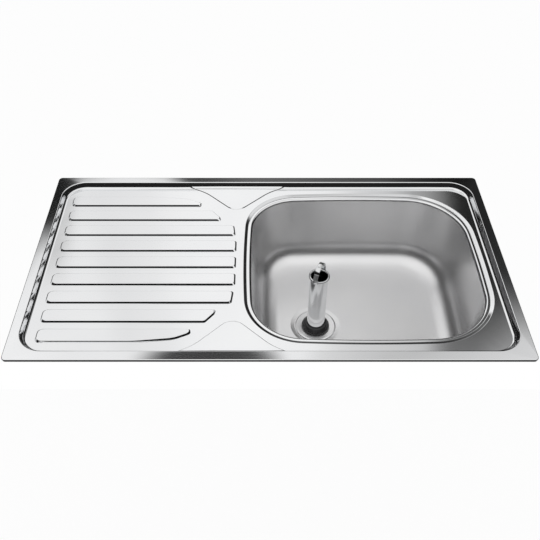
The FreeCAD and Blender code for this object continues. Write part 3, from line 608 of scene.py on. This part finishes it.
def bowl():
    shape = bowlShape
    wall = filleted([(shape["flange"], shape["flangeTop"], 0), (0, shape["flangeTop"], shape["mouthRound"]),
                     (-shape["draft"], shape["floor"], shape["floorRound"]),
                     (-shape["draft"] - shape["floorRun"], shape["floor"], 0)], shape["wallArc"])[:-1]
    rings = [[(x, y, z) for x, y in bowlLoop(g)] for g, z in wall]
    count = len(rings[0])
    sides = ([p for ring in rings for p in ring], loftFaces(len(rings), count))
    dish = filleted([(0, -shape["dish"], 0), (shape["dishRadius"], -shape["dish"], shape["dishRound"]),
                     (shape["dishRadius"] + shape["dishSlope"], 0, shape["dishRound"]),
                     (shape["dishBeyond"], 0, 0)])
    dx, dy = shape["drain"]
    circles = [arcPoints((dx, dy), r, 0, 2 * math.pi, shape["drainPoints"])[:-1]
               for r in [shape["hole"]] + inner(dish)]
    edge = bowlLoop(wall[-1][0])

    def keep(middles):
        fromDrain = np.hypot(middles[:, 0] - dx, middles[:, 1] - dy)
        return (loopDistance(middles, edge) < 0) & (fromDrain > shape["hole"] * 0.999)

    plan, faces = planMesh([edge] + circles, keep)
    height = shape["floor"] + heightAt(dish, np.hypot(plan[:, 0] - dx, plan[:, 1] - dy))
    points, faces = joined(sides, (np.column_stack([plan, height]), faces.tolist()))
    thing = sheetObject("drawnBowl", points, faces, shape["gauge"])
    dress(thing, "satinSteel", "satin_steel", "root", "bowl")
    # the lip round the mouth is polished with the top
    thing.data.materials.append(finishes["polishedSteel"])
    lipLevel = (shape["flangeTop"] - shape["lipDrop"]) * mm
    for face in thing.data.polygons:
        face.material_index = 1 if face.center.z > lipLevel else 0
    print("bowl:", len(thing.data.polygons), "faces")


drainPlace = (85, -19.6, -145)
wasteShape = {
    "flangeRadius": 35.9, "flangeUnder": -0.8, "edgeDraw": 0.8, "edgeRound": 0.3, "domeRun": 2.2,
    "domeRise": 0.9, "domeRound": 1.2, "collar": 25.0, "collarEnd": -2.1, "rimIn": 1.8, "rimLevel": -0.3,
    "rimRound": 1, "seatWide": 0.8, "seatLevel": -4, "throatLevel": -13, "throatEnd": -20,
    "throatRound": 2, "tailRadius": 23.9, "tailBore": 20.6, "tailLength": 60, "tailRound": 0.6,
    "gripDepth": 0.4, "gripTop": -2.4, "gripEnd": -17.4,
}
gasketShape = {
    "flangeGasket": {"node": "flange_gasket", "bore": 25.2, "outer": 34.9, "widest": -1.2,
                     "edgeRound": 0.25, "low": -1.5, "lowDraw": 0.3, "lowRound": 0, "top": -0.85,
                     "topDraw": 0.3},
    "lowerGasket": {"node": "lower_gasket", "bore": 23.6, "outer": 35.6, "widest": -3.9,
                    "edgeRound": 0.9, "low": -5.4, "lowDraw": 1.0, "lowRound": 0.9, "top": -2.4,
                    "topDraw": 0.8},
}
pipeShape = {
    "foot": 15.8, "top": 15, "wall": 1, "height": 125, "below": 14, "footRound": 0.4, "taperFrom": 6,
    "bead": 2.1, "beadCentre": 15.7, "beadStart": -0.62, "beadEnd": 1.25, "beadPoints": 28,
    "beadFoot": 2.4,
}
coneShape = {
    "hug": 15.9, "wide": 24.4, "below": 12.5, "plugWall": 4.2, "plugRound": 0.8, "neckWall": 5,
    "neckLevel": -4.4, "neckRound": 2, "lipRun": 1.9, "lipUnder": 0.1, "underRound": 0.3,
    "lipLevel": 0.4, "lipRound": 0.8, "shoulderIn": 0.4, "shoulder": 3.4, "shoulderRound": 2.5,
    "crownWall": 3, "crownDrop": 0.4, "crownRound": 2, "top": 9.8,
}
strapShape = {
    "width": 8, "gauge": 1, "rise": 24.7, "angle": 64, "edgeRound": 0.3, "gap": 0.1, "hookRound": 1.1,
    "shoulder": 5, "shoulderRound": 12.5, "crownIn": 6.2, "crownRound": 13.5, "pathArc": 10,
}


def waste():
    shape = wasteShape
    outer, collar, tail, bore = (shape[key] for key in ("flangeRadius", "collar", "tailRadius", "tailBore"))
    grip = tail - shape["gripDepth"]
    profile = filleted([
        (bore, -shape["tailLength"], 0), (tail, -shape["tailLength"], shape["tailRound"]),
        (tail, shape["gripEnd"], 0), (grip, shape["gripEnd"], 0), (grip, shape["gripTop"], 0),
        (collar, shape["collarEnd"], 0), (collar, shape["flangeUnder"], 0),
        (outer - shape["edgeDraw"], shape["flangeUnder"], 0), (outer, 0, shape["edgeRound"]),
        (outer - shape["domeRun"], shape["domeRise"], shape["domeRound"]),
        (collar - shape["rimIn"], shape["rimLevel"], shape["rimRound"]),
        (bore + shape["seatWide"], shape["seatLevel"], shape["throatRound"]),
        (bore, shape["throatLevel"], shape["throatRound"]), (bore, shape["throatEnd"], 0)])
    dress(turnedObject("wasteFlange", profile, drainPlace), "satinSteel", "polished_steel", "root",
          "waste_flange")
    for name, ring in gasketShape.items():
        profile = filleted([
            (ring["bore"], ring["low"], 0), (ring["outer"] - ring["lowDraw"], ring["low"], ring["lowRound"]),
            (ring["outer"], ring["widest"], ring["edgeRound"]),
            (ring["outer"] - ring["topDraw"], ring["top"], 0), (ring["bore"], ring["top"], 0)])
        dress(turnedObject(name, profile, drainPlace), "blackRubber", "black_rubber", "root", ring["node"])


def standpipe():
    shape = pipeShape
    foot, top, wall = shape["foot"], shape["top"], shape["wall"]
    high = shape["height"] - shape["bead"]
    bead = arcPoints((shape["beadCentre"], high), shape["bead"], math.pi * shape["beadStart"],
                     math.pi * shape["beadEnd"], shape["beadPoints"])
    profile = filleted([(foot - wall, -shape["below"], 0), (foot, -shape["below"], shape["footRound"]),
                        (foot, shape["taperFrom"], 0)])
    profile += bead + [(top - wall, high - shape["beadFoot"]), (foot - wall, shape["taperFrom"])]
    dress(turnedObject("overflowTube", profile, drainPlace), "chromePlate", "chrome_plate",
          "standpipe", "standpipe_tube")
    cone = coneShape
    hug, wide, below = cone["hug"], cone["wide"], -cone["below"]
    profile = filleted([
        (hug, below, 0), (hug + cone["plugWall"], below, cone["plugRound"]),
        (hug + cone["neckWall"], cone["neckLevel"], cone["neckRound"]),
        (wide - cone["lipRun"], cone["lipUnder"], cone["underRound"]),
        (wide, cone["lipLevel"], cone["lipRound"]),
        (wide - cone["shoulderIn"], cone["shoulder"], cone["shoulderRound"]),
        (hug + cone["crownWall"], cone["top"] - cone["crownDrop"], cone["crownRound"]),
        (hug, cone["top"], 0)])
    dress(turnedObject("plugCone", profile, drainPlace, sharp=60), "blackRubber", "black_rubber",
          "plug", "standpipe_cone")


def strap():
    # a flat strip bent over the mouth, hooked under the rolled top on both sides
    shape = strapShape
    gauge = shape["gauge"]
    out = pipeShape["beadCentre"] + pipeShape["bead"] + gauge / 2 + shape["gap"]
    under = -pipeShape["bead"] - gauge / 2 - shape["gap"]
    half = [(pipeShape["beadCentre"], under, 0), (out, under, shape["hookRound"]),
            (out, shape["shoulder"], shape["shoulderRound"]),
            (out - shape["crownIn"], shape["rise"], shape["crownRound"])]
    path = filleted(half + [(-x, z, radius) for x, z, radius in half[::-1]], shape["pathArc"])
    w, g, r = shape["width"] / 2, gauge / 2, shape["edgeRound"]
    section = filleted([(-w, 0, 0), (-w, -g, r), (w, -g, r), (w, g, r), (-w, g, r), (-w, 0, 0)], 3)[:-1]
    turn = math.radians(shape["angle"])
    level = drainPlace[2] + pipeShape["height"] - pipeShape["bead"]
    points = []
    for k, (x, z) in enumerate(path):
        before, after = Vector(path[max(k - 1, 0)]), Vector(path[min(k + 1, len(path) - 1)])
        along = (after - before).normalized()
        for across, off in section:
            u, v = x - along.y * off, z + along.x * off
            points.append((drainPlace[0] + u * math.cos(turn) - across * math.sin(turn),
                           drainPlace[1] + u * math.sin(turn) + across * math.cos(turn), level + v))
    count = len(section)
    faces = loftFaces(len(path), count)
    faces += [tuple(range(count)), tuple(reversed(range(len(points) - count, len(points))))]
    thing = makeObject("liftStrap", points, faces)
    thing.data.set_sharp_from_angle(angle=math.radians(50))
    thing.data.flip_normals()
    dress(thing, "chromePlate", "chrome_plate", "standpipe", "lift_strap")


sealShape = {"inset": 1.2, "width": 8, "height": 2.5, "edgeRound": 0.7, "start": 1.2,
             "cornerShrink": 0.75, "leastCorner": 0.4, "edgeArc": 4, "perCorner": 6, "perSide": 2}
padShape = {"x": 210, "top": -145.8, "halfX": 70, "halfY": 85, "corner": 14, "thick": 2.5,
            "topRound": 0.3, "lowRound": 1.2, "edgeArc": 4, "perCorner": 8, "perSide": 2}


def foamStrip():
    # the seal in the rim's hollow: a closed ring with small rounds on its edges
    shape = sealShape
    near, far = shape["inset"], shape["inset"] + shape["width"]
    high, r = shape["height"], shape["edgeRound"]
    profile = filleted([(near, shape["start"], 0), (near, 0, r), (far, 0, r), (far, high, r),
                        (near, high, r), (near, shape["start"], 0)], shape["edgeArc"])[:-1]
    rings = []
    for inset, level in profile:
        corner = max(topShape["outerRadius"] - inset * shape["cornerShrink"], shape["leastCorner"])
        rings.append([(x, y, level) for x, y in rectLoop(
            topShape["length"] / 2 - inset, topShape["width"] / 2 - inset, corner,
            shape["perCorner"], shape["perSide"])])
    count = len(rings[0])
    last = (len(rings) - 1) * count
    faces = loftFaces(len(rings), count)
    faces += [(last + k, last + (k + 1) % count, (k + 1) % count, k) for k in range(count)]
    dress(makeObject("foamStrip", [p for ring in rings for p in ring], faces), "sealFoam", "seal_foam",
          "root", "rim_seal")


def dampingSheet():
    # the pad under the bowl's floor
    shape = padShape
    halfX, low = shape["halfX"], -shape["thick"]
    profile = filleted([(halfX, 0, 0), (0, 0, shape["topRound"]), (0, low, shape["lowRound"]),
                        (halfX, low, 0)], shape["edgeArc"])[1:-1]
    rings = [[(x + shape["x"], y, shape["top"] + z)
              for x, y in rectLoop(halfX - d, shape["halfY"] - d, shape["corner"] - d,
                                   shape["perCorner"], shape["perSide"])] for d, z in profile]
    count = len(rings[0])
    points = [p for ring in rings for p in ring]
    faces = loftFaces(len(rings), count)
    faces += [tuple(range(count)), tuple(range(len(points) - count, len(points)))]
    thing = makeObject("dampingSheet", points, faces)
    thing.data.set_sharp_from_angle(angle=math.radians(50))
    dress(thing, "dampingPad", "damping_pad", "root", "sound_pad")


def carriedNodes():
    # CAD pieces that keep their own shape get their finish here
    plastic = ("slip_washer", "backnut")
    for name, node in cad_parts.items():
        if name in plastic:
            finish = "whitePlastic"
        elif name.startswith(("rail", "clamp", "wing")):
            finish = "zincSteel"
        else:
            continue
        node.data.materials.clear()
        node.data.materials.append(finishes[finish])


sinkTop()
bowl()
waste()
standpipe()
strap()
foamStrip()
dampingSheet()
carriedNodes()
print("pieces: done")

view = {"place": (-0.01664, -0.86618, 0.81774), "down": 44.27, "lens": 47.73, "sensor": 36,
        "shift": 0.0215}
camera = bpy.data.cameras.new("camera")
camera.lens = view["lens"]
camera.sensor_width = view["sensor"]
camera.shift_x = view["shift"]
cameraObject = bpy.data.objects.new("camera", camera)
cameraObject.location = view["place"]
cameraObject.rotation_euler = (math.radians(90 - view["down"]), 0, 0)
bpy.context.scene.collection.objects.link(cameraObject)
bpy.context.scene.camera = cameraObject


skyline = {
    # azimuth (0 behind the sink, 90 to its right): how high the dark walls reach, how dark they
    # are, how bright the ceiling above them is and how many degrees the change takes
    -180: (40, 0.015, 1.0, 4), -60: (40, 0.015, 1.0, 4), -34: (37, 0.012, 1.0, 2),
    -28: (36, 0.012, 0.95, 1.5), -24: (40, 0.015, 0.95, 5), -21: (39.5, 0.015, 0.95, 5),
    -18: (35.5, 0.02, 0.95, 4), -16: (27, 0.03, 0.88, 3), -12: (25, 0.05, 0.92, 3), -8: (27, 0.06, 1.0, 3),
    -6: (33, 0.06, 1.02, 3), 0: (33, 0.14, 1.02, 3), 6: (33, 0.10, 0.98, 3),
    11: (33, 0.05, 0.74, 6), 17: (37, 0.011, 0.66, 5), 20: (43, 0.011, 0.60, 6),
    22: (51, 0.02, 0.60, 8), 25: (50, 0.02, 0.62, 8), 28.5: (47, 0.02, 0.66, 7),
    32: (42, 0.03, 0.72, 5), 38: (39, 0.02, 0.80, 4), 60: (37, 0.015, 0.9, 4),
    180: (40, 0.015, 1.0, 4),
}
lampBoom = {"azimuth": -8, "height": 61, "wide": 11, "tall": 4.5, "shine": 0.05, "outside": 1.5,
            "inside": 0.5}
rampScale = {"level": 90, "bright": 2, "change": 10}  # what a full channel of the ramp stands for


def worldLight():
    # what the steel mirrors: a bright ceiling over dark walls; everything else sees white
    world = bpy.data.worlds.new("studio")
    bpy.context.scene.world = world
    world.use_nodes = True
    tree = world.node_tree
    background = tree.nodes["Background"]
    direction = addNode(tree, "ShaderNodeTexCoord").outputs["Generated"]
    parts = addNode(tree, "ShaderNodeSeparateXYZ", {0: direction})

    def mathNode(kind, first, second=0.0):
        return addNode(tree, "ShaderNodeMath", {0: first, 1: second}, operation=kind).outputs[0]

    around = addNode(tree, "ShaderNodeMapRange",
                     {"Value": mathNode("ARCTAN2", parts.outputs[0], parts.outputs[1]),
                      "From Min": -math.pi, "From Max": math.pi}).outputs[0]
    height = mathNode("MULTIPLY", mathNode("ARCSINE", parts.outputs[2]), math.degrees(1))
    ramp = addNode(tree, "ShaderNodeValToRGB", {0: around})
    stops = ramp.color_ramp.elements
    ramp.color_ramp.interpolation = "EASE"
    for k, (azimuth, (level, dark, bright, change)) in enumerate(skyline.items()):
        place = (azimuth + 180) / 360
        stop = stops[0] if k == 0 else stops[-1] if azimuth == 180 else stops.new(place)
        stop.position = place
        stop.color = (level / rampScale["level"], dark, bright / rampScale["bright"],
                      change / rampScale["change"])
    bands = addNode(tree, "ShaderNodeSeparateColor", {0: ramp.outputs[0]})
    edge = mathNode("MULTIPLY", bands.outputs[0], rampScale["level"])
    softness = mathNode("MULTIPLY", ramp.outputs[1], rampScale["change"])
    steps = mathNode("DIVIDE", mathNode("SUBTRACT", height, edge), softness)
    ceiling = addNode(tree, "ShaderNodeMapRange", {"Value": steps, "From Min": -1.0, "From Max": 1.0},
                      interpolation_type="SMOOTHSTEP").outputs[0]
    lit = mathNode("MULTIPLY", bands.outputs[2], rampScale["bright"])
    room = addNode(tree, "ShaderNodeMix", {0: ceiling, 2: bands.outputs[1], 3: lit}, data_type="FLOAT")
    # the boom of the lamp over the sink, which the front rim mirrors
    degrees = mathNode("MULTIPLY", mathNode("SUBTRACT", around, 0.5), 360.0)
    aside = mathNode("DIVIDE", mathNode("SUBTRACT", degrees, lampBoom["azimuth"]), lampBoom["wide"])
    over = mathNode("DIVIDE", mathNode("SUBTRACT", height, lampBoom["height"]), lampBoom["tall"])
    apart = mathNode("ADD", mathNode("POWER", mathNode("ABSOLUTE", aside), 2.0),
                     mathNode("POWER", mathNode("ABSOLUTE", over), 2.0))
    boom = addNode(tree, "ShaderNodeMapRange", {"Value": apart, "From Min": lampBoom["outside"],
                                                "From Max": lampBoom["inside"]},
                   interpolation_type="SMOOTHSTEP").outputs[0]
    shine = addNode(tree, "ShaderNodeMix", {0: boom, 2: room.outputs[0], 3: lampBoom["shine"]},
                    data_type="FLOAT")
    ray = addNode(tree, "ShaderNodeLightPath")
    plain = mathNode("MAXIMUM", ray.outputs["Is Camera Ray"], ray.outputs["Is Diffuse Ray"])
    strength = addNode(tree, "ShaderNodeMix", {0: plain, 2: shine.outputs[0], 3: 1.0},
                       data_type="FLOAT")
    tree.links.new(strength.outputs[0], background.inputs["Strength"])
    background.inputs["Color"].default_value = (1, 1, 1, 1)


def stagePlane(name, corners, shadowShare, shade):
    # a plane in some shade of grey; seen straight it is nearly as white as the air behind it
    mesh = bpy.data.meshes.new(name)
    mesh.from_pydata(corners, [], [range(len(corners))])
    plane = bpy.data.objects.new(name, mesh)
    bpy.context.scene.collection.objects.link(plane)
    material, tree, shader = newMaterial(name)
    shader.inputs["Base Color"].default_value = (shade, shade, shade, 1)
    shader.inputs["Roughness"].default_value = 0.9
    white = addNode(tree, "ShaderNodeEmission", {"Strength": 1.0})
    ray = addNode(tree, "ShaderNodeLightPath")
    share = addNode(tree, "ShaderNodeMath", {0: ray.outputs["Is Camera Ray"], 1: 1 - shadowShare},
                    operation="MULTIPLY")
    mixed = addNode(tree, "ShaderNodeMixShader", {0: share.outputs[0], 1: shader.outputs[0],
                                                  2: white.outputs[0]})
    tree.links.new(mixed.outputs[0], tree.nodes["Material Output"].inputs["Surface"])
    mesh.materials.append(material)
    return plane


def levelCorners(left, right, front, back, level):
    return [(left, front, level), (right, front, level), (right, back, level), (left, back, level)]


floorShape = {"reach": 12, "level": -0.9, "shadowShare": 0.15, "shade": 0.9}
# the strip's 0.03 grey is painted shade: only reflections see it, and it draws a dark shadow line along the
# front lip
stripShape = {"half": 0.42, "front": -0.266, "back": -0.2175, "shadowShare": 0.0, "shade": 0.03}
worldLight()
far = floorShape["reach"]
stagePlane("floor", levelCorners(-far, far, -far, far, floorShape["level"]), floorShape["shadowShare"],
           floorShape["shade"])
# a strip before the front rim, white to the camera so that nothing shows below the rim; in reflections it is
# near black, so the front lip mirrors a painted shade line
half = stripShape["half"]
strip = stagePlane("paintedShadeMaskStrip", levelCorners(-half, half, stripShape["front"], stripShape["back"], 0),
                   stripShape["shadowShare"], stripShape["shade"])
strip.visible_shadow = strip.visible_diffuse = False
bpy.context.scene.view_settings.view_transform = "Standard"
print("studio: camera, light and floor")
